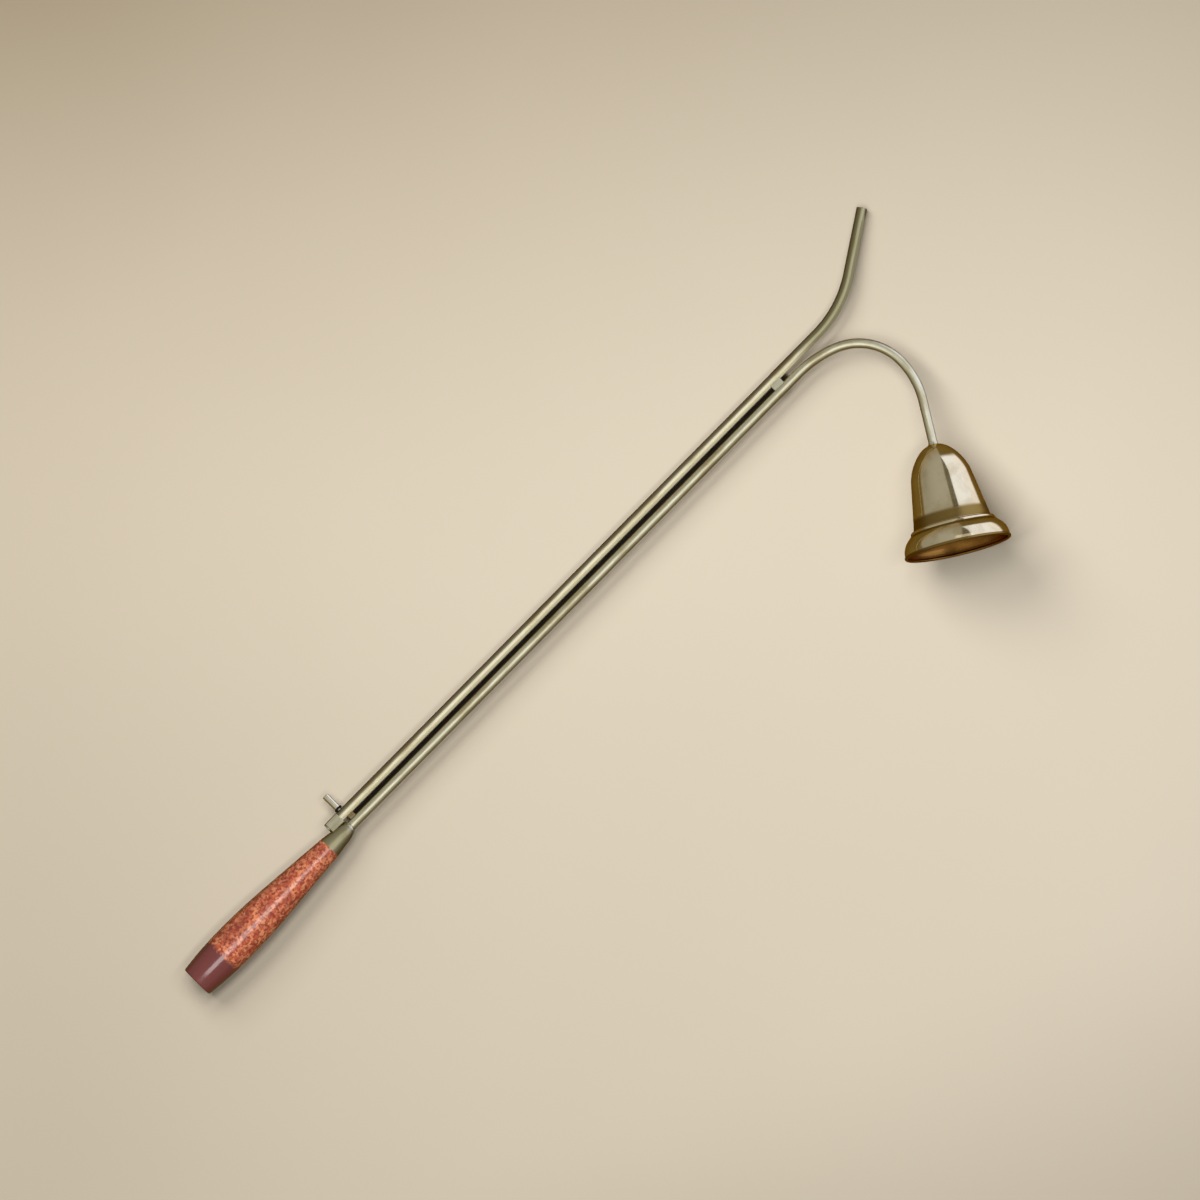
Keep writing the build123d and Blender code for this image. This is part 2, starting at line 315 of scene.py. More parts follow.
class Sheet:
    """Mesh in the making, with the run of its grain in millimetres at every point."""

    def __init__(self, bench: Bench) -> None:
        """Starts an empty mesh on a bench."""
        self.bench = bench
        self.mesh = bmesh.new()
        self.grain = self.mesh.verts.layers.float_vector.new(GRAIN)

    def point(self, spot: Triple, grain: Triple) -> bmesh.types.BMVert:
        """Adds a point of the bench."""
        vert = self.mesh.verts.new(self.bench.spot(*spot))
        vert[self.grain] = grain
        return vert

    def ring_on(self, route: Route, stop: int, radius: float, angles: Sequence[float], shift: float) -> Ring:
        """Ring of points square to a route.

        Args:
            route: the route.
            stop: number of the stop on it.
            radius: radius of the ring.
            angles: angles of the points from the bench's y side, in radians.
            shift: distance of the ring beyond the stop.

        Returns:
            The points.
        """
        heading = route.headings[stop]
        spot = route.spots[stop] + Vector((math.cos(heading), math.sin(heading))) * shift
        ring = []
        for angle in angles:
            out, up = radius * math.cos(angle), radius * math.sin(angle)
            place = (spot.x - math.sin(heading) * out, spot.y + math.cos(heading) * out, up)
            ring.append(self.point(place, (route.lengths[stop] + shift, out, up)))
        return ring

    def skin(self, near: Ring, far: Ring, closed: bool = True, finish: int = 0) -> None:
        """Joins two rings with faces; a ring of one point makes a fan.

        Args:
            near: first ring.
            far: second ring.
            closed: whether the last points join the first ones.
            finish: finish number of the faces.
        """
        count = max(len(near), len(far))
        for step in range(count if closed else count - 1):
            after = (step + 1) % count
            corners = [near[step % len(near)], near[after % len(near)]]
            corners += [far[after % len(far)], far[step % len(far)]]
            corners = list(dict.fromkeys(corners))
            if len(corners) > 2:
                self.mesh.faces.new(corners).material_index = finish

    def crease(self, line: Ring, closed: bool = True) -> None:
        """Marks the edges along a line of points as sharp."""
        for here, after in zip(line, [*line[1:], *line[: int(closed)]]):
            edge = self.mesh.edges.get((here, after)) if here is not after else None
            if edge:
                edge.smooth = False

    def finish(self, name: str) -> bpy.types.Object:
        """Closes the seams and makes the piece.

        Args:
            name: name of the piece.

        Returns:
            The piece, in the scene.
        """
        bmesh.ops.remove_doubles(self.mesh, verts=self.mesh.verts, dist=SEAM)
        bmesh.ops.recalc_face_normals(self.mesh, faces=self.mesh.faces)
        mesh = bpy.data.meshes.new(name)
        self.mesh.to_mesh(mesh)
        self.mesh.free()
        mesh.polygons.foreach_set("use_smooth", [True] * len(mesh.polygons))
        piece = bpy.data.objects.new(name, mesh)
        bpy.context.scene.collection.objects.link(piece)
        return piece


def full_turn(steps: int) -> list[float]:
    """Angles of the points of a closed ring."""
    return [2 * math.pi * step / steps for step in range(steps)]


def turn_piece(
    name: str,
    bench: Bench,
    outline: Sequence[Point],
    steps: int = 128,
    closed: bool = False,
    finish_of: Callable[[int], int] | None = None,
) -> bpy.types.Object:
    """Turns a half section about the bench's x axis.

    Args:
        name: name of the piece.
        bench: bench whose x axis is the turning axis.
        outline: the half section, as distance along the axis and radius.
        steps: number of steps round the axis.
        closed: whether the section is a closed loop.
        finish_of: finish number of each stretch of the outline, all 0 by default.

    Returns:
        The piece, with its grain along the outline.
    """
    sheet = Sheet(bench)
    rings: list[Ring] = []
    travelled = 0.0
    for index, (x, radius) in enumerate(outline):
        travelled += math.dist(outline[index - 1], (x, radius)) if index else 0.0
        ring = []
        for angle in full_turn(steps if radius > SEAM else 1):
            y, z = radius * math.cos(angle), radius * math.sin(angle)
            ring.append(sheet.point((x, y, z), (travelled, y, z)))
        rings.append(ring)
    count = len(rings)
    for near in range(count if closed else count - 1):
        sheet.skin(rings[near], rings[(near + 1) % count], True, finish_of(near) if finish_of else 0)
    for index in range(0 if closed else 1, count if closed else count - 1):
        before, here, after = (Vector(outline[(index + step) % count]) for step in (-1, 0, 1))
        if (here - before).angle(after - here, 0.0) > SHARP_TURN:
            sheet.crease(rings[index])
    return sheet.finish(name)


def draw_rod(
    name: str, bench: Bench, route: Route, radius: Callable[[float], float], sides: int = 64, bevel: float = 0.25
) -> bpy.types.Object:
    """Draws a solid rod along a route on the bench.

    Args:
        name: name of the piece.
        bench: bench of the route.
        route: the axis.
        radius: radius at a length along the route.
        sides: number of sides.
        bevel: broken edge at the ends.

    Returns:
        The piece, with its grain along the route.
    """
    sheet = Sheet(bench)
    angles = full_turn(sides)
    radii = [radius(length) for length in route.lengths]
    last = len(radii) - 1
    rings = [sheet.ring_on(route, 0, radii[0] - bevel, angles, 0.0), sheet.ring_on(route, 0, radii[0], angles, bevel)]
    rings += [sheet.ring_on(route, stop, radii[stop], angles, 0.0) for stop in range(1, last)]
    rings += [sheet.ring_on(route, last, radii[last], angles, -bevel)]
    rings += [sheet.ring_on(route, last, radii[last] - bevel, angles, 0.0)]
    for near, far in zip(rings, rings[1:]):
        sheet.skin(near, far)
    for ring in (rings[0], rings[-1]):
        sheet.mesh.faces.new(ring)
    for ring in (*rings[:2], *rings[-2:]):
        sheet.crease(ring)
    return sheet.finish(name)


def draw_tube(
    name: str,
    bench: Bench,
    route: Route,
    radii: Point,
    opening: Callable[[float], float],
    sides: int = 72,
    bevel: float = 0.14,
) -> bpy.types.Object:
    """Draws a tube along a route on the bench, slotted along its y side.

    Args:
        name: name of the piece.
        bench: bench of the route.
        route: the axis.
        radii: outer and inner radius.
        opening: half the slot's width at a length along the route, 0 where the tube is whole.
        sides: number of sides.
        bevel: broken edge at the ends.

    Returns:
        The piece, with its grain along the route.
    """
    sheet = Sheet(bench)
    last = len(route.spots) - 1

    def ring_at(stop: int, radius: float, shift: float = 0.0) -> Ring:
        """Ring of one radius, open at the slot."""
        edge = math.asin(opening(route.lengths[stop]) / radius)
        turn = 2 * (math.pi - edge)
        return sheet.ring_on(route, stop, radius, [edge + turn * side / sides for side in range(sides + 1)], shift)

    walls: list[list[Ring]] = []
    for radius, trim in zip(radii, (-bevel, bevel)):
        rings = [ring_at(0, radius + trim), ring_at(0, radius, bevel)]
        rings += [ring_at(stop, radius) for stop in range(1, last)]
        rings += [ring_at(last, radius, -bevel), ring_at(last, radius + trim)]
        for near, far in zip(rings, rings[1:]):
            sheet.skin(near, far, False)
        for ring in (*rings[:2], *rings[-2:]):
            sheet.crease(ring, False)
        walls.append(rings)
    outer, inner = walls
    for end in (0, -1):
        sheet.skin(outer[end], inner[end], False)
    widths = [opening(route.lengths[max(0, min(stop - 1, last))]) for stop in range(len(outer))]
    for stop in range(1, len(outer) - 2):
        if widths[stop] > 0 or widths[stop + 1] > 0:
            for edge in (0, -1):
                lips = [[wall[stop][edge], wall[stop + 1][edge]] for wall in walls]
                sheet.skin(lips[0], lips[1], False)
                for lip in lips:
                    sheet.crease(lip, False)
    return sheet.finish(name)


class NodeBoard:
    """Board that shader nodes are wired on."""

    def __init__(self, tree: bpy.types.NodeTree) -> None:
        """Takes the node tree that the board fills."""
        self.tree = tree

    def node(self, kind: str, inputs: dict[Any, Any] | None = None, **settings: Any) -> bpy.types.Node:
        """Adds a node.

        Args:
            kind: Blender's name of the node type.
            inputs: sockets by name or number, each with a value or a socket to link.
            settings: other properties of the node.

        Returns:
            The node.
        """
        made = self.tree.nodes.new(kind)
        for key, value in settings.items():
            setattr(made, key, value)
        for key, value in (inputs or {}).items():
            self.feed(made.inputs[key], value)
        return made

    def feed(self, socket: bpy.types.NodeSocket, value: Any) -> None:
        """Links a socket, or sets its value."""
        if isinstance(value, bpy.types.NodeSocket):
            self.tree.links.new(value, socket)
        elif isinstance(value, tuple) and len(value) == 3 and socket.type == "RGBA":
            socket.default_value = (*value, 1.0)
        else:
            socket.default_value = value

    def stretch(self, coords: bpy.types.NodeSocket, scale: Triple) -> bpy.types.NodeSocket:
        """Coordinates scaled on each axis."""
        return self.node("ShaderNodeVectorMath", {0: coords, 1: scale}, operation="MULTIPLY").outputs[0]

    def across(self, coords: bpy.types.NodeSocket, way: Sequence[float]) -> bpy.types.NodeSocket:
        """Distance of coordinates along a direction."""
        made = self.node("ShaderNodeVectorMath", {0: coords, 1: tuple(way)}, operation="DOT_PRODUCT")
        return made.outputs["Value"]

    def noise(
        self,
        coords: bpy.types.NodeSocket,
        scale: float,
        detail: float = 2.0,
        roughness: float = 0.5,
        distortion: float = 0.0,
    ) -> bpy.types.NodeSocket:
        """Cloudy pattern.

        Args:
            coords: coordinates in millimetres.
            scale: clouds per millimetre.
            detail: number of finer layers.
            roughness: weight of the finer layers.
            distortion: how far the clouds are pulled about.

        Returns:
            The value socket, about 0.3 to 0.7.
        """
        inputs = {"Vector": coords, "Scale": scale, "Detail": detail}
        inputs |= {"Roughness": roughness, "Distortion": distortion}
        return self.node("ShaderNodeTexNoise", inputs).outputs["Fac"]

    def part(self, coords: bpy.types.NodeSocket, axis: int) -> bpy.types.NodeSocket:
        """One part of a vector."""
        return self.node("ShaderNodeSeparateXYZ", {0: coords}).outputs[axis]

    def sum(self, operation: str, first: Any, second: Any) -> bpy.types.NodeSocket:
        """Sum, product or other calculation of two values."""
        return self.node("ShaderNodeMath", {0: first, 1: second}, operation=operation).outputs[0]

    def step(
        self, value: Any, low: float, high: float, start: float = 0.0, end: float = 1.0
    ) -> bpy.types.NodeSocket:
        """Soft step of a value between two limits.

        Args:
            value: the value.
            low: limit where the step starts.
            high: limit where it ends.
            start: result below the first limit.
            end: result above the second limit.

        Returns:
            The value socket.
        """
        limits = {"Value": value, "From Min": low, "From Max": high, "To Min": start, "To Max": end}
        return self.node("ShaderNodeMapRange", limits, interpolation_type="SMOOTHSTEP").outputs["Result"]

    def blend(self, share: Any, first: Any, second: Any) -> bpy.types.NodeSocket:
        """Mix of two colours."""
        made = self.node("ShaderNodeMix", {"Factor": share}, data_type="RGBA")
        self.feed(made.inputs[6], first)
        self.feed(made.inputs[7], second)
        return made.outputs[2]


class FinishBoard(NodeBoard):
    """Board of one finish."""

    def __init__(self, name: str) -> None:
        """Starts the material with its shader."""
        self.material = bpy.data.materials.new(name)
        self.material.use_nodes = True
        super().__init__(self.material.node_tree)
        self.shader = self.tree.nodes["Principled BSDF"]

    def shade(self, **sockets: Any) -> bpy.types.Material:
        """Feeds the shader's sockets, named with underscores.

        Args:
            sockets: values or sockets to link.

        Returns:
            The finished material.
        """
        for key, value in sockets.items():
            self.feed(self.shader.inputs[key.replace("_", " ")], value)
        return self.material

    def grain_of(self, grain: Grain, bench: Bench) -> bpy.types.NodeSocket:
        """Coordinates in millimetres.

        Args:
            grain: where the run of the grain comes from.
            bench: bench for a grain along it.

        Returns:
            The vector socket.
        """
        if grain is Grain.PIECE:
            return self.node("ShaderNodeAttribute", attribute_name=GRAIN).outputs["Vector"]
        spot = self.node("ShaderNodeTexCoord").outputs["Object"]
        shift = {0: spot, 1: tuple(bench.origin)}
        moved = self.node("ShaderNodeVectorMath", shift, operation="SUBTRACT").outputs[0]
        parts = [self.across(moved, axis * (1 / MM)) for axis in (bench.along, bench.side, bench.up)]
        return self.node("ShaderNodeCombineXYZ", dict(enumerate(parts))).outputs[0]

    def relief(self, height: bpy.types.NodeSocket, depth: float, strength: float = 1.0) -> bpy.types.NodeSocket:
        """Relief of a pattern.

        Args:
            height: the pattern, 0 to 1.
            depth: depth of the relief, in millimetres.
            strength: weight of the relief.

        Returns:
            The normal socket.
        """
        made = self.node("ShaderNodeBump", {"Height": height, "Distance": depth * MM, "Strength": strength})
        return made.outputs["Normal"]


@dataclass(frozen=True)
class ToneBand:
    """Band of painted colour along one side of a drawn piece, mostly painted shade: soft limits across it, and where
    along it it ends and starts.
    """

    start: float
    end: float
    reach: float
    share: float = 1.0
    # dark default colour: painted shade
    colour: Triple = (0.075, 0.045, 0.014)
    roughness: float = 0.5
    fade: float = 14.0
    onset: float = -100.0

    def cover(self, board: NodeBoard, coords: bpy.types.NodeSocket) -> bpy.types.NodeSocket:
        """How far the band covers the brass.

        Args:
            board: board of the finish.
            coords: grain of the piece.

        Returns:
            The share, 0 to 1.
        """
        low, high = sorted((self.start, self.end))
        towards = (0.0, self.share) if self.start < self.end else (self.share, 0.0)
        across = board.step(board.part(coords, 1), low, high, *towards)
        run = board.part(coords, 0)
        along = board.step(run, self.reach - self.fade, self.reach, 1.0, 0.0)
        begun = board.step(run, self.onset, self.onset + self.fade)
        return board.sum("MULTIPLY", across, board.sum("MULTIPLY", along, begun))


@dataclass(frozen=True)
class DrawnBrass:
    """Pale brass, drawn through a die: fine lines along the piece, a little dulled in patches."""

    name: str
    bright: Triple = (0.80, 0.75, 0.54)
    dull: Triple = (0.62, 0.55, 0.34)
    stain: Triple = (0.36, 0.25, 0.11)
    edge: Triple = (0.40, 0.30, 0.13)
    roughness: Point = (0.26, 0.40)
    grain: Grain = Grain.PIECE
    line_scale: float = 1.6
    stain_share: float = 0.35
    # painted bands along the piece's sides, mostly painted shade
    painted_tone: tuple[ToneBand, ...] = ()

    def material(self, bench: Bench) -> bpy.types.Material:
        """Makes the finish on a bench."""
        board = FinishBoard(self.name)
        coords = board.grain_of(self.grain, bench)
        lines = board.noise(board.stretch(coords, (0.035, 1.0, 1.0)), self.line_scale, 3.0, 0.6)
        patches = board.noise(board.stretch(coords, (0.3, 1.0, 1.0)), 0.16, 4.0, 0.62)
        specks = board.noise(coords, 0.9, 5.0, 0.7)
        dulled = board.blend(board.step(patches, 0.42, 0.66), self.bright, self.dull)
        fouled = board.sum("MULTIPLY", board.step(patches, 0.54, 0.74), board.step(specks, 0.46, 0.66))
        colour = board.blend(board.sum("MULTIPLY", fouled, self.stain_share), dulled, self.stain)
        low, high = self.roughness
        rough = board.sum(
            "ADD", board.step(lines, 0.34, 0.68, low, high), board.step(patches, 0.5, 0.75, 0.0, 0.08)
        )
        # Painted bands: their colour is blended over the brass and their roughness is raised.
        for side in self.painted_tone:
            cover = side.cover(board, coords)
            colour = board.blend(cover, colour, side.colour)
            rough = board.sum("MAXIMUM", rough, board.sum("MULTIPLY", cover, side.roughness))
        return board.shade(
            Base_Color=colour,
            Metallic=1.0,
            Roughness=rough,
            Specular_Tint=self.edge,
            Normal=board.relief(lines, 0.012, 0.5),
        )


@dataclass(frozen=True)
class SpunBrass:
    """Warm brass, spun and polished: fine rings, a thin haze, and listed dark bands across the outline, mostly
    painted dark reflection and shade.
    """

    name: str
    bright: Triple = (0.85, 0.73, 0.47)
    dull: Triple = (0.70, 0.57, 0.33)
    roughness: Point = (0.06, 0.13)
    ring_scale: float = 1.1
    ring_depth: float = 0.004
    edge: Triple = (0.80, 0.57, 0.21)
    # dark bands along the outline: where each starts, is full, starts to fade and ends
    dark_bands: tuple[tuple[float, float, float, float], ...] = ()
    painted_tone: Triple = (0.30, 0.195, 0.055)
    painted_tone_roughness: float = 0.34

    def material(self, bench: Bench) -> bpy.types.Material:
        """Makes the finish."""
        board = FinishBoard(self.name)
        coords = board.grain_of(Grain.PIECE, bench)
        rings = board.noise(board.stretch(coords, (1.0, 0.02, 0.02)), self.ring_scale, 4.0, 0.65)
        haze = board.noise(coords, 0.07, 4.0, 0.6, 0.4)
        specks = board.noise(coords, 0.8, 4.0, 0.7)
        colour = board.blend(board.step(haze, 0.40, 0.70), self.bright, self.dull)
        low, high = self.roughness
        rough = board.sum(
            "ADD", board.step(rings, 0.35, 0.65, low, high), board.step(specks, 0.5, 0.75, 0.0, 0.05)
        )
        along = board.part(coords, 0)
        # Dark bands across the bell's outline, mostly painted dark reflection and shade.
        for first, deep, end, last in self.dark_bands:
            cover = board.sum("MULTIPLY", board.step(along, first, deep), board.step(along, end, last, 1.0, 0.0))
            colour = board.blend(cover, colour, self.painted_tone)
            rough = board.sum("MAXIMUM", rough, board.sum("MULTIPLY", cover, self.painted_tone_roughness))
        return board.shade(
            Base_Color=colour,
            Metallic=1.0,
            Roughness=rough,
            Specular_Tint=self.edge,
            Normal=board.relief(rings, self.ring_depth, 0.6),
        )


@dataclass(frozen=True)
class MottledLacquer:
    """Red-brown mottled grip under clear lacquer, with a plain dark band at the butt."""

    name: str
    ground: Triple = (0.62, 0.125, 0.055)
    pale: Triple = (0.92, 0.32, 0.145)
    fleck: Triple = (0.27, 0.045, 0.027)
    band: Triple = (0.185, 0.047, 0.042)
    band_start: float = 22.5
    band_blur: float = 1.3

    def material(self, bench: Bench) -> bpy.types.Material:
        """Makes the finish on a bench."""
        board = FinishBoard(self.name)
        coords = board.grain_of(Grain.BENCH, bench)
        clouds = board.noise(coords, 0.32, 2.0, 0.5, 0.3)
        flecks = board.noise(coords, 0.55, 2.0, 0.5, 0.2)
        fine = board.noise(coords, 1.8, 3.0, 0.6)
        broad = board.noise(coords, 0.11, 2.0, 0.5, 0.3)
        mottle = board.blend(board.step(clouds, 0.38, 0.60), self.ground, self.pale)
        mottle = board.blend(board.step(broad, 0.46, 0.66, 0.0, 0.42), mottle, self.fleck)
        mottle = board.blend(board.step(flecks, 0.44, 0.64, 0.0, 0.88), mottle, self.fleck)
        mottle = board.blend(board.step(fine, 0.42, 0.75, 0.0, 0.25), mottle, self.fleck)
        ragged = board.sum("ADD", board.part(coords, 0), board.step(clouds, 0.3, 0.7, -0.8, 0.8))
        in_band = board.step(ragged, self.band_start - self.band_blur, self.band_start + self.band_blur)
        band = board.blend(board.step(flecks, 0.40, 0.7, 0.0, 0.45), self.band, self.fleck)
        colour = board.blend(in_band, band, mottle)
        return board.shade(
            Base_Color=colour,
            Roughness=board.step(fine, 0.3, 0.7, 0.34, 0.50),
            Specular_IOR_Level=0.10,
            Coat_Weight=board.step(in_band, 0.0, 1.0, 1.0, 0.9),
            Coat_Roughness=board.step(in_band, 0.0, 1.0, 0.11, 0.20),
            Normal=board.relief(flecks, 0.06, 0.4),
        )


@dataclass(frozen=True)
class BlackRing:
    """Black, slightly worn collar."""

    name: str
    black: Triple = (0.006, 0.005, 0.004)
    worn: Triple = (0.022, 0.018, 0.014)

    def material(self, bench: Bench) -> bpy.types.Material:
        """Makes the finish."""
        board = FinishBoard(self.name)
        coords = board.grain_of(Grain.PIECE, bench)
        wear = board.noise(coords, 1.6, 4.0, 0.65)
        colour = board.blend(board.step(wear, 0.5, 0.72), self.black, self.worn)
        rough = board.step(wear, 0.3, 0.7, 0.45, 0.65)
        return board.shade(Base_Color=colour, Roughness=rough, Specular_IOR_Level=0.2)


@dataclass(frozen=True)
class ShadeFade:
    """Way over the floor, to the picture's right and top, along which painted shade darkens the paper, in metres."""

    way: Point
    start: float
    end: float
    depth: float


@dataclass(frozen=True)
class PaperFloor:
    """Pale warm paper with painted shade that darkens it a little towards the picture's edges."""

    name: str
    pale: Triple = (0.826, 0.737, 0.591)
    painted_shade_colour: Triple = (0.103, 0.059, 0.011)
    shade_fades: tuple[ShadeFade, ...] = (
        ShadeFade((0.0, 1.0), 0.0, 0.85, 0.733),
        ShadeFade((-1.0, 0.0), -0.36, 0.39, 0.44),
        ShadeFade((1.0, 0.0), -0.28, 0.27, 0.173),
        ShadeFade((0.35, -0.94), 0.28, 0.50, 0.18),
    )

    def material(self, middle: Vector, right: Vector, ahead: Vector) -> bpy.types.Material:
        """Makes the finish.

        Args:
            middle: middle of the picture.
            right: direction to the picture's right.
            ahead: direction over the floor to the picture's top.

        Returns:
            The finished material.
        """
        board = FinishBoard(self.name)
        coords = board.node("ShaderNodeTexCoord").outputs["Object"]
        moved = board.node("ShaderNodeVectorMath", {0: coords, 1: tuple(middle)}, operation="SUBTRACT").outputs[0]
        shade = board.step(board.noise(coords, 3.0, 3.0, 0.5), 0.3, 0.7, 0.0, 0.02)
        # Painted shade: the paper darkens along each fade.
        for fade in self.shade_fades:
            across = board.across(moved, right * fade.way[0] + ahead * fade.way[1])
            shade = board.sum("ADD", shade, board.step(across, fade.start, fade.end, 0.0, fade.depth))
        colour = board.blend(shade, self.pale, self.painted_shade_colour)
        return board.shade(Base_Color=colour, Roughness=0.95, Specular_IOR_Level=0.05)


def seat(piece: bpy.types.Object, body: Body, slot: Slot, *nodes: str) -> None:
    """Rides a piece on a body and names the solids that it stands for, which it hides.

    Args:
        piece: the piece.
        body: body that it moves with.
        slot: material slot of the record; not used.
        nodes: solids that it replaces.
    """
    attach(piece, body.value)
    if nodes:
        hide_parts(*nodes)
    log.info("%s rides on %s, replaces %s", piece.name, body.value, ", ".join(nodes) or "nothing")


def dress(piece: bpy.types.Object, *materials: bpy.types.Material) -> None:
    """Puts finishes on a new piece, in the order of its faces' numbers."""
    for material in materials:
        piece.data.materials.append(material)


def dress_node(name: str, material: bpy.types.Material) -> None:
    """Puts a finish on a solid that stays as it is."""
    node = frame["nodes"][name]
    if not node.material_slots:
        node.data.materials.append(material)
    for place in node.material_slots:
        place.link = "OBJECT"
        place.material = material
    log.info("%s keeps its solid", name)


@dataclass
class Grip:
    """Turned handle, its ferrule and the solder where the rod leaves it."""

    bench: Bench
    length: float = 113.0
    butt_d: float = 20.6
    belly: Point = (113.0 * 0.28, 12.4)
    swell: Point = (113.0 * 0.6, 10.9)
    neck_d: float = 14.2
    butt_edge: float = 0.9
    nose: Point = (130.2, 3.6)
    fillet: float = 1.7
    rod_r: float = 3.0
    lacquer: MottledLacquer = MottledLacquer("mottled_lacquer")
    cup_brass: DrawnBrass = DrawnBrass(
        "ferrule_brass", (0.42, 0.375, 0.215), (0.32, 0.265, 0.14), grain=Grain.BENCH, roughness=(0.32, 0.46)
    )
    solder: DrawnBrass = DrawnBrass("nose_solder", (0.66, 0.63, 0.47), (0.54, 0.50, 0.35), line_scale=0.8)

    def outline(self) -> list[Point]:
        """Half section from the middle of the butt to the ferrule's seat."""
        heel = tangent_arc(self.belly, (-1.0, 0.0), (0.0, self.butt_d / 2), 32)[::-1]
        edge = self.butt_edge
        slope = (heel[1][1] - heel[0][1]) / (heel[1][0] - heel[0][0])
        start_r = heel[0][1] + slope * edge
        lean = 90.0 + math.degrees(math.atan(slope))
        pen = Outline((0.0, 0.0)).line((0.0, start_r - edge))
        pen.along(round_arc((edge, start_r - edge), edge, 180.0, lean, 8))
        pen.along([point for point in heel if point[0] > 2 * edge])
        pen.arc(self.swell, (1.0, 0.0), 24)
        pen.arc((self.length, self.neck_d / 2), None, 24)
        return pen.line((self.length, 0.0)).points

    def solder_outline(self) -> list[Point]:
        """Closed half section of the solder fillet between the ferrule's nose and the rod."""
        x, radius = self.nose
        pen = Outline((x - 0.2, self.rod_r)).line((x - 0.2, radius + 0.35)).line((x, radius + 0.3))
        pen.arc((x + self.fillet, self.rod_r + 0.05), (0.35, -1.0), 10)
        return pen.line((x + self.fillet, self.rod_r)).points

    def build(self) -> None:
        """Turns the handle and the solder and dresses the ferrule."""
        handle = turn_piece("turned_handle", self.bench, self.outline(), 144)
        dress(handle, self.lacquer.material(self.bench))
        seat(handle, Body.STAFF, Slot.WOOD, "handle")
        dress_node("ferrule", self.cup_brass.material(self.bench))
        solder = turn_piece("nose_solder", self.bench, self.solder_outline(), 64, True)
        dress(solder, self.solder.material(self.bench))
        seat(solder, Body.STAFF, Slot.BRASS)


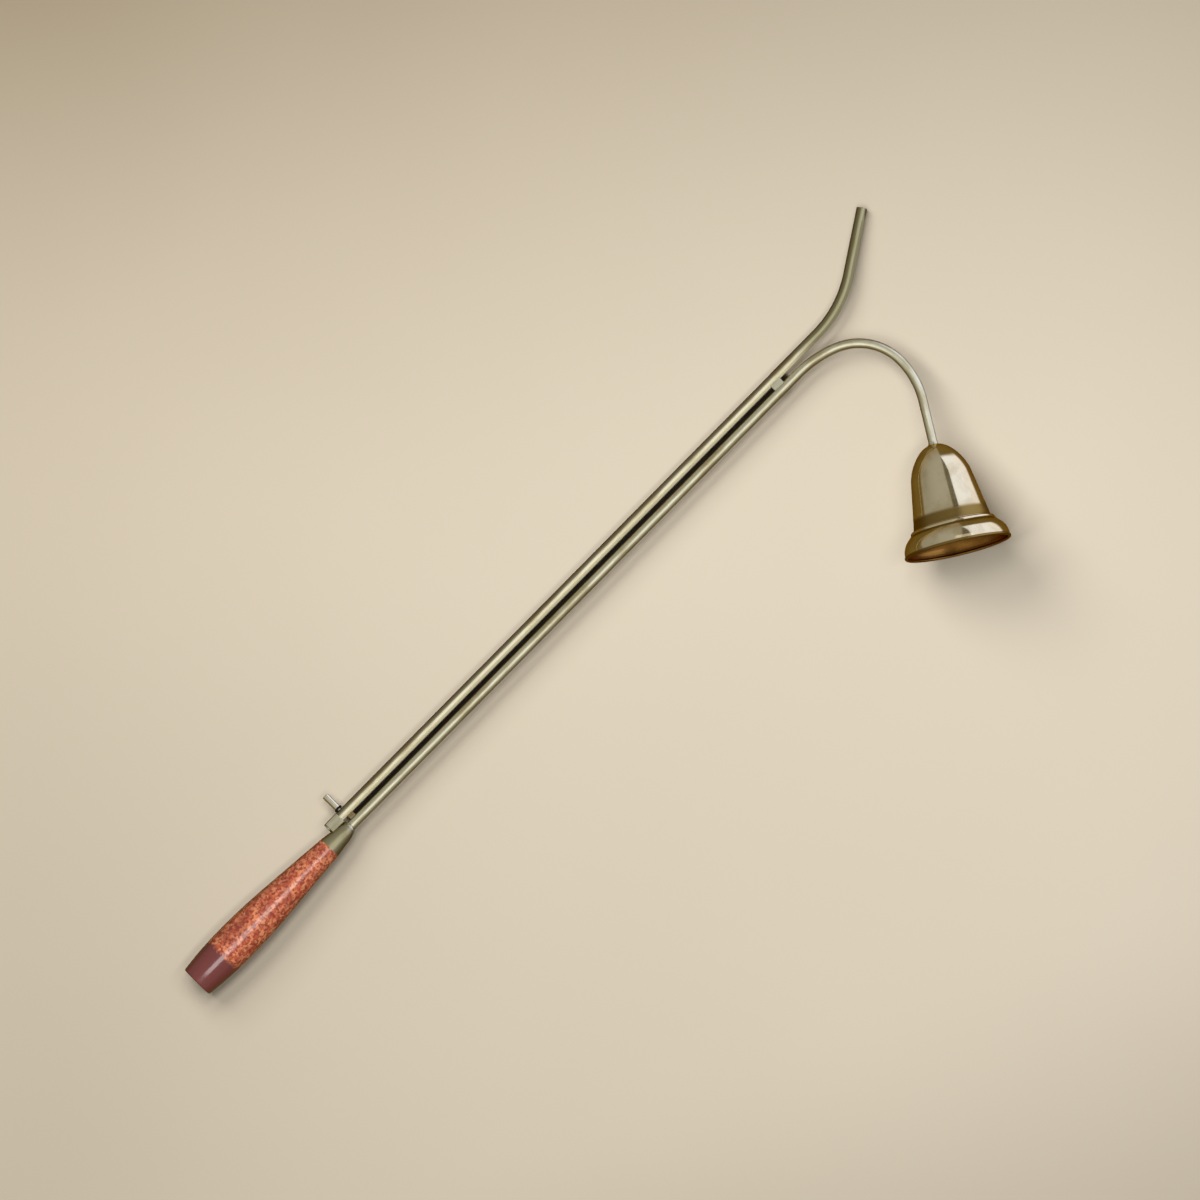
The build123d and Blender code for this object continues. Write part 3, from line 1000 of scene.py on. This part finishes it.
@dataclass
class Snuffer:
    """Gooseneck arm with the bell, its washer and nut."""

    bench: Bench
    rod_d: float = 6.0
    drop_d: float = 5.4
    tang_x: float = 53.0
    crook_x: float = 511.8
    lead: Point = (70.0, 22.0)
    crook: Point = (35.3, 68.0)
    drop: Point = (52.0, 31.7)
    drop_length: float = 27.4
    crown_fillet: Point = (2.6, 0.5)
    bell_height: float = 64.4
    crown: Point = (4.186, 10.2)
    shoulder: Point = (19.513, 18.5)
    waist: Point = (46.497, 23.2)
    bead_seat: Point = (50.554, 25.3)
    flare: Point = (53.806, 28.6)
    lip: Point = (61.502, 32.15)
    crown_margin: float = 0.6
    bead_r: float = 1.3
    bead_sink: float = 0.7
    rim_bead_r: float = 1.0
    rim_polish: float = 60.0
    wall: float = 0.9
    crown_wall: float = 1.8
    hole_r: float = 2.03
    # The rod's flank facing the tube is painted dark up to the fork: painted shade in the gap between the rods.
    rod_brass: DrawnBrass = DrawnBrass("drawn_brass", painted_tone=(ToneBand(1.6, 3.0, 458.0),))
    # The bands above and below the bead are painted dark reflection and shade; the last darkens the lip's end and the
    # rim.
    bell_brass: SpunBrass = SpunBrass("spun_brass", dark_bands=((48.8, 51.4, 56.6, 57.9), (60.2, 60.8, 62.2, 63.6), (73.6, 74.8, 90.0, 91.0)))
    lining_brass: SpunBrass = SpunBrass(
        "bell_lining", (0.40, 0.19, 0.04), (0.26, 0.115, 0.022), (0.22, 0.36), 0.8, 0.012
    )
    fastener_brass: DrawnBrass = DrawnBrass("fastener_brass", grain=Grain.BENCH)

    def route(self) -> Route:
        """Axis of the arm from the tang to the crown of the bell."""
        route = Route((self.tang_x, 0.0)).run(self.crook_x - self.tang_x, 6)
        for radius, degrees in (self.lead, self.crook, self.drop):
            route.bend(radius, -degrees)
        return route.run(self.drop_length - self.crown_fillet[0], 4).run(self.crown_fillet[0], 6)

    def rod_radius(self, length: float) -> float:
        """Radius of the arm, drawn thinner over the gooseneck and run out with solder at the crown."""
        straight = self.crook_x - self.tang_x
        total = self.route().lengths[-1]
        share = max(0.0, (length - straight) / (total - straight))
        reach, height = self.crown_fillet
        run_out = max(0.0, 1 - (total - length) / reach)
        return (self.rod_d + (self.drop_d - self.rod_d) * share) / 2 + height * run_out**2

    def bell_bench(self) -> Bench:
        """Bench at the crown with its x axis down the bell."""
        route = self.route()
        heading = route.headings[-1]
        return self.bench.turned_to(
            self.bench.spot(*route.spots[-1]), self.bench.way(math.cos(heading), math.sin(heading))
        )

    def bell_outline(self) -> tuple[list[Point], int]:
        """Closed half section of the bell.

        Returns:
            The points, from the crown's hole round the outside, the rim and the lining, and the number of
            points before the lining.
        """
        pen = Outline((0.0, self.drop_d / 2 + self.crown_margin))
        pen.arc(self.crown, (0.3, 1.0), 14).arc(self.shoulder, None, 32).line(self.waist)
        pen.arc(self.bead_seat, None, 24).arc(self.flare, None, 24).arc(self.lip, None, 20)
        rim = (self.bell_height - self.rim_bead_r, self.lip[1] - self.wall / 2)
        grip = math.sqrt(self.rim_bead_r**2 - (self.wall / 2) ** 2)
        pen.line((rim[0] - grip, self.lip[1]))
        lining = [point for point in inset(pen.points, self.wall) if point[0] > self.crown_wall]
        bead = (self.bead_seat[0], self.bead_seat[1] - self.bead_sink)
        outside = with_bead(pen.points, bead, self.bead_r)
        lean = math.degrees(math.asin(self.wall / 2 / self.rim_bead_r))
        whole = Outline((0.0, self.hole_r)).along(outside)
        whole.along(round_arc(rim, self.rim_bead_r, 180.0 - lean, self.rim_polish, 10))
        lining_start = len(whole.points)
        whole.along(round_arc(rim, self.rim_bead_r, self.rim_polish, lean - 180.0, 22)).along(lining[::-1])
        whole.line((self.crown_wall, lining[0][1] - 0.5)).line((self.crown_wall, self.hole_r))
        return whole.points, lining_start

    def build(self) -> None:
        """Draws the arm, turns the bell and dresses the fasteners."""
        arm = draw_rod("gooseneck_arm", self.bench, self.route(), self.rod_radius, bevel=0.1)
        dress(arm, self.rod_brass.material(self.bench))
        seat(arm, Body.STAFF, Slot.BRASS, "snuffer_arm")
        outline, lining_start = self.bell_outline()
        bell = turn_piece(
            "spun_bell", self.bell_bench(), outline, 224, True, lambda index: int(index >= lining_start)
        )
        dress(bell, self.bell_brass.material(self.bench), self.lining_brass.material(self.bench))
        seat(bell, Body.STAFF, Slot.BELL, "bell")
        fastener = self.fastener_brass.material(self.bench)
        for name in ("bell_washer", "bell_nut"):
            dress_node(name, fastener)


@dataclass
class Lighter:
    """Taper tube with its saddle, plug and spacers."""

    bench: Bench
    tail_x: float = 121.0
    pitch: float = 8.825
    bend_x: float = 536.2
    tip: Point = (70.0, 33.5)
    tip_length: float = 41.0
    radii: Point = (3.175, 2.675)
    slot_x: Point = (131.7, 500.2)
    slot_r: float = 1.4
    slot_steps: int = 6
    tube_brass: DrawnBrass = DrawnBrass(
        "tube_brass",
        painted_tone=(
            # Rod-facing flank: rougher and a little paler brass, partly a painted highlight.
            ToneBand(-0.8, -2.0, 500.0, colour=(0.84, 0.78, 0.55), roughness=0.85),
            # Rod-facing edge: painted shade in the gap between the rods.
            ToneBand(-2.95, -3.3, 415.0),
            # Slot side: painted shade along the tube's outer edge.
            ToneBand(-0.8, 1.4, 600.0, 0.80, (0.21, 0.135, 0.05)),
            # From the fork to the tip: a darker, duller olive tone.
            ToneBand(-9.0, -8.0, 600.0, 0.80, (0.309, 0.275, 0.134), 0.34, 30.0, 386.0),
        ),
    )
    fitting_brass: DrawnBrass = DrawnBrass(
        "fitting_brass", (0.66, 0.63, 0.46), (0.50, 0.45, 0.29), grain=Grain.BENCH, roughness=(0.28, 0.42)
    )
    # Darker brass for the lower spacer between the rods: painted shade.
    shaded_spacer_brass: DrawnBrass = DrawnBrass(
        "shaded_spacer_brass", (0.40, 0.31, 0.16), (0.26, 0.18, 0.08), grain=Grain.BENCH, roughness=(0.34, 0.50)
    )

    def route(self) -> Route:
        """Axis of the tube from its tail to its tip, with stops that follow the slot's round ends."""
        start, end = self.slot_x
        route = Route((self.tail_x, self.pitch)).run(start - self.tail_x)
        round_end = [self.slot_r * math.cos(math.pi / 2 * step / self.slot_steps) for step in range(self.slot_steps + 1)]
        for near, far in zip(round_end, round_end[1:]):
            route.run(near - far)
        route.run(end - start - 2 * self.slot_r, 8)
        for near, far in zip(round_end[::-1], round_end[-2::-1]):
            route.run(far - near)
        return route.run(self.bend_x - end).bend(*self.tip).run(self.tip_length, 4)

    def opening(self, length: float) -> float:
        """Half the slot's width at a length along the tube."""
        x = self.tail_x + length
        depth = min(x - self.slot_x[0], self.slot_x[1] - x, self.slot_r)
        return math.sqrt(max(0.0, self.slot_r**2 - (self.slot_r - depth) ** 2)) if depth > SEAM else 0.0

    def build(self) -> None:
        """Draws the tube and dresses its fittings."""
        tube = draw_tube("slotted_tube", self.bench, self.route(), self.radii, self.opening)
        dress(tube, self.tube_brass.material(self.bench))
        seat(tube, Body.STAFF, Slot.BRASS, "taper_tube")
        fitting = self.fitting_brass.material(self.bench)
        for name in ("tube_saddle", "tail_plug", "upper_spacer"):
            dress_node(name, fitting)
        dress_node("lower_spacer", self.shaded_spacer_brass.material(self.bench))


@dataclass
class Slide:
    """Thumb knob, collar and taper carrier."""

    bench: Bench
    knob_x: float = 133.1
    collar_y: float = 12.30
    collar_d: float = 5.2
    collar_height: float = 1.2
    stem_d: float = 2.4
    stem_start: float = -4.675
    knob_d: float = 4.2
    waist_d: float = 3.8
    knob_length: float = 10.4
    knob_brass: SpunBrass = SpunBrass(
        "knob_brass", (0.84, 0.76, 0.56), (0.70, 0.60, 0.40), (0.12, 0.22), 2.5, 0.006
    )
    collar_black: BlackRing = BlackRing("collar_black")
    carrier_brass: DrawnBrass = DrawnBrass("carrier_brass", grain=Grain.BENCH)

    def knob_bench(self) -> Bench:
        """Bench at the collar's foot with its x axis out along the knob."""
        return self.bench.turned_to(self.bench.spot(self.knob_x, self.collar_y), self.bench.side)

    def build(self) -> None:
        """Turns the knob and the collar and dresses the carrier."""
        base, top = self.collar_height, self.collar_height + self.knob_length
        rim, waist, stem = self.knob_d / 2, self.waist_d / 2, self.stem_d / 2
        pen = Outline((self.stem_start, 0.0)).line((self.stem_start, stem)).line((base, stem))
        pen.line((base, waist - 0.15)).line((base + 0.15, waist)).line((top - 1.0, rim))
        pen.along(round_arc((top - 0.45, rim - 0.4), 0.4, 90.0, 10.0, 8))
        pen.arc((top, 0.0), (0.05, -1.0), 6)
        knob = turn_piece("thumb_pin", self.knob_bench(), pen.points, 64)
        dress(knob, self.knob_brass.material(self.bench))
        seat(knob, Body.SLIDER, Slot.KNOB, "thumb_knob")
        wide = self.collar_d / 2
        ring = Outline((0.0, stem + 0.02)).line((0.0, wide - 0.15)).line((0.15, wide))
        ring.line((base - 0.3, wide)).arc((base, wide - 0.3), (1.0, 0.0), 6).line((base, stem + 0.02))
        collar = turn_piece("collar_ring", self.knob_bench(), ring.points, 64, True)
        dress(collar, self.collar_black.material(self.bench))
        seat(collar, Body.SLIDER, Slot.COLLAR, "knob_collar")
        dress_node("taper_carrier", self.carrier_brass.material(self.bench))


@dataclass(frozen=True)
class Edge:
    """Soft edge of a panel: a direction to the picture's right, its top and straight up, and two limits."""

    way: Triple
    low: float
    high: float


@dataclass(frozen=True)
class SoftPanel:
    """Bright part of the room that polished metal shows, bounded by soft edges."""

    glow: Triple
    edges: tuple[Edge, ...]


@dataclass(frozen=True)
class StripLamp:
    """Long lamp that hangs along the rod, tilted from straight above to the tube's side, in metres."""

    name: str
    tilt: float
    power: float
    reach: float
    size: Point
    shift: float = 0.0
    lit: Lit = Lit.ALL
    gloss: bool = False
    unblocked: bool = False


WINDOW = SoftPanel(
    (0.79, 0.875, 1.22),
    (
        Edge((1.0, 0.13, -0.634), -0.02, 0.035),
        Edge((0.0, 1.0, 0.40), -0.02, 0.06),
        Edge((0.242, -0.970, 0.57), -0.93, -0.82),
        Edge((0.0, 0.0, 1.0), -0.58, -0.42),
    ),
)
LEFT_WALL = SoftPanel(
    (0.165, 0.165, 0.175),
    (
        Edge((-1.0, -0.05, 0.163), -0.03, 0.04),
        Edge((0.0, 1.0, 0.915), -0.05, 0.20),
        Edge((0.0, 0.6, 1.0), 0.03, 0.15),
    ),
)
LEFT_LAMP = SoftPanel(
    (0.075, 0.085, 0.095), (Edge((-1.0, -0.05, 0.163), -0.03, 0.04), Edge((0.0, 0.6, 1.0), 0.35, 1.15))
)
TOP_LAMP = SoftPanel(
    (0.42, 0.43, 0.46),
    (
        Edge((1.0, 0.0, 0.0), -0.16, -0.04),
        Edge((-1.0, 0.0, 0.0), -0.55, -0.40),
        Edge((0.0, 1.0, 0.0), 0.24, 0.34),
        Edge((0.0, -1.0, 0.0), -0.56, -0.48),
        Edge((0.0, 0.0, 1.0), 0.20, 0.50),
    ),
)
NEAR_WALL = SoftPanel((0.18, 0.18, 0.17), (Edge((0.0, -1.0, 0.0), 0.05, 0.30), Edge((0.0, 0.0, 1.0), 0.10, 0.45)))


@dataclass
class Studio:
    """Floor, lights and camera, in metres."""

    bench: Bench
    aim: Point = (332.0, -11.0)
    heading: float = 45.33
    distance: float = 12.0
    frame_width: float = 0.7176
    sensor: float = 36.0
    floor_size: float = 40.0
    floor_z: float = -0.00003
    fill: Triple = (0.05, 0.049, 0.048)
    backdrop: Triple = (0.62, 0.55, 0.43)
    low_glow: Triple = (0.17, 0.118, 0.034)
    high_glow: Triple = (0.16, 0.15, 0.12)
    floor: PaperFloor = PaperFloor("paper_floor")
    flag: tuple[Point, Point] = ((133.0, 506.5), (2.6, 8.6))
    flag_height: float = 0.002
    flag_black: BlackRing = BlackRing("flag_black")
    panels: tuple[SoftPanel, ...] = (WINDOW, LEFT_WALL, LEFT_LAMP, TOP_LAMP, NEAR_WALL)
    lamps: tuple[StripLamp, ...] = (
        StripLamp("steep_lamp", 13.0, 12.3, 1.54, (1.4, 0.38), lit=Lit.FLOOR),
        StripLamp("slant_lamp", 38.0, 16.1, 1.90, (1.4, 0.46), lit=Lit.FLOOR),
        StripLamp("low_lamp", 54.0, 18.5, 2.55, (1.4, 0.70), lit=Lit.FLOOR),
        StripLamp("far_lamp", -13.0, 7.5, 1.54, (1.4, 0.27), lit=Lit.FLOOR),
        StripLamp("handle_lamp", 8.0, 10.0, 1.5, (0.6, 0.30), -0.25, Lit.HANDLE),
        StripLamp("streak_lamp", -6.0, 4.6, 1.0, (0.6, 0.42), -0.25, Lit.HANDLE, True),
        StripLamp("rod_lamp", -10.0, 7.2, 1.52, (2.4, 1.3), lit=Lit.RODS, gloss=True),
        StripLamp("tube_lamp", -60.0, 5.4, 1.80, (1.6, 1.8), lit=Lit.TUBE, gloss=True),
        StripLamp("flank_lamp", -80.0, 9.0, 1.80, (1.6, 1.8), lit=Lit.TUBE, gloss=True, unblocked=True),
    )

    def right(self) -> Vector:
        """Direction to the picture's right."""
        turn = math.radians(self.heading)
        return Vector((math.cos(turn), -math.sin(turn), 0.0))

    def ahead(self) -> Vector:
        """Direction over the floor to the picture's top."""
        turn = math.radians(self.heading)
        return Vector((math.sin(turn), math.cos(turn), 0.0))

    def way(self, parts: Triple) -> Vector:
        """Direction from its parts to the picture's right, to its top and straight up."""
        return self.right() * parts[0] + self.ahead() * parts[1] + Vector((0.0, 0.0, parts[2]))

    def middle(self) -> Vector:
        """Spot that the camera looks at."""
        return self.bench.spot(*self.aim)

    def lay_floor(self) -> None:
        """Lays the paper floor, which throws no light back on the tool."""
        sheet = Sheet(self.bench)
        bmesh.ops.create_grid(sheet.mesh, x_segments=2, y_segments=2, size=self.floor_size / 2)
        floor = sheet.finish("paper_floor")
        floor.location.z = self.floor_z
        floor.visible_glossy = floor.visible_diffuse = False
        dress(floor, self.floor.material(self.middle(), self.right(), self.ahead()))

    def set_flag(self) -> None:
        """Sets a black flag over the floor under the rods, to keep stray light out of the gap between them."""
        sheet = Sheet(self.bench)
        (start, end), (near, far) = self.flag
        corners = [sheet.point((x, y, 0.0), (x, y, 0.0)) for x, y in ((start, near), (end, near), (end, far), (start, far))]
        for corner in corners:
            corner.co.z = self.flag_height
        sheet.mesh.faces.new(corners)
        flag = sheet.finish("black_flag")
        flag.visible_camera = flag.visible_glossy = False
        dress(flag, self.flag_black.material(self.bench))

    def light_room(self) -> None:
        """Lights the room: an even fill for matt surfaces, soft panels for polished ones."""
        world = bpy.data.worlds.new("studio")
        bpy.context.scene.world = world
        world.use_nodes = True
        world.cycles.sampling_method = "NONE"
        world.node_tree.nodes.clear()
        board = NodeBoard(world.node_tree)
        look = board.node("ShaderNodeTexCoord").outputs["Generated"]
        rays = board.node("ShaderNodeLightPath").outputs
        glow = board.blend(board.step(board.part(look, 2), -0.12, 0.10), self.low_glow, self.high_glow)
        for panel in self.panels:
            share: Any = 1.0
            for edge in panel.edges:
                across = board.across(look, self.way(edge.way))
                share = board.sum("MULTIPLY", board.step(across, edge.low, edge.high), share)
            lit = board.blend(share, (0.0, 0.0, 0.0), panel.glow)
            glow = board.node("ShaderNodeVectorMath", {0: glow, 1: lit}, operation="ADD").outputs[0]
        seen = board.blend(rays["Is Glossy Ray"], self.fill, glow)
        seen = board.blend(rays["Is Camera Ray"], seen, self.backdrop)
        shader = board.node("ShaderNodeBackground", {"Color": seen})
        board.node("ShaderNodeOutputWorld", {"Surface": shader.outputs[0]})

    def hang(self, strip: StripLamp) -> None:
        """Hangs a lamp along the rod."""
        data = bpy.data.lights.new(strip.name, "AREA")
        data.shape = "RECTANGLE"
        data.size, data.size_y = strip.size
        data.energy = strip.power
        lamp = bpy.data.objects.new(strip.name, data)
        bpy.context.scene.collection.objects.link(lamp)
        up = Vector((0.0, 0.0, 1.0))
        side = up.cross(self.bench.along).normalized()
        along = side.cross(up)
        tilt = math.radians(strip.tilt)
        back = side * math.sin(tilt) + up * math.cos(tilt)
        lamp.location = self.middle() + along * strip.shift + back * strip.reach
        lamp.rotation_mode = "QUATERNION"
        lamp.rotation_quaternion = facing(along, back.cross(along), back)
        lamp.visible_camera = False
        lamp.visible_glossy = strip.gloss
        if strip.lit.value:
            only = bpy.data.collections.new(strip.name)
            for name in strip.lit.value:
                only.objects.link(frame["nodes"].get(name) or bpy.data.objects[name])
            lamp.light_linking.receiver_collection = only
            if strip.unblocked:
                lamp.light_linking.blocker_collection = only

    def set_camera(self) -> None:
        """Sets the camera straight above the tool, where the photograph was taken from."""
        data = bpy.data.cameras.new("camera")
        data.sensor_width = self.sensor
        data.lens = self.sensor * self.distance / self.frame_width
        data.clip_start, data.clip_end = 0.05, 100.0
        camera = bpy.data.objects.new("camera", data)
        bpy.context.scene.collection.objects.link(camera)
        up = Vector((0.0, 0.0, 1.0))
        camera.location = self.middle() + up * self.distance
        camera.rotation_mode = "QUATERNION"
        camera.rotation_quaternion = facing(self.right(), self.ahead(), up)
        bpy.context.scene.camera = camera

    def build(self) -> None:
        """Sets up the studio."""
        bpy.context.scene.view_settings.view_transform = "Standard"
        self.lay_floor()
        self.set_flag()
        self.light_room()
        for strip in self.lamps:
            self.hang(strip)
        self.set_camera()


def facing(right: Vector, top: Vector, back: Vector) -> Quaternion:
    """Turn of a camera or lamp with these directions to its right, its top and its back."""
    return Matrix((right, top, back)).transposed().to_quaternion()


def main() -> None:
    """Builds the looks of every sub-assembly and the studio."""
    logging.basicConfig(level=logging.INFO, format="%(name)s: %(message)s")
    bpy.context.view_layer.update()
    bench = Bench.from_mounts(frame["record"]["mounts"])
    for assembly in (Grip(bench), Snuffer(bench), Lighter(bench), Slide(bench), Studio(bench)):
        log.info("building %s", type(assembly).__name__)
        assembly.build()
    bpy.context.view_layer.update()


if __name__ == "__main__":
    main()
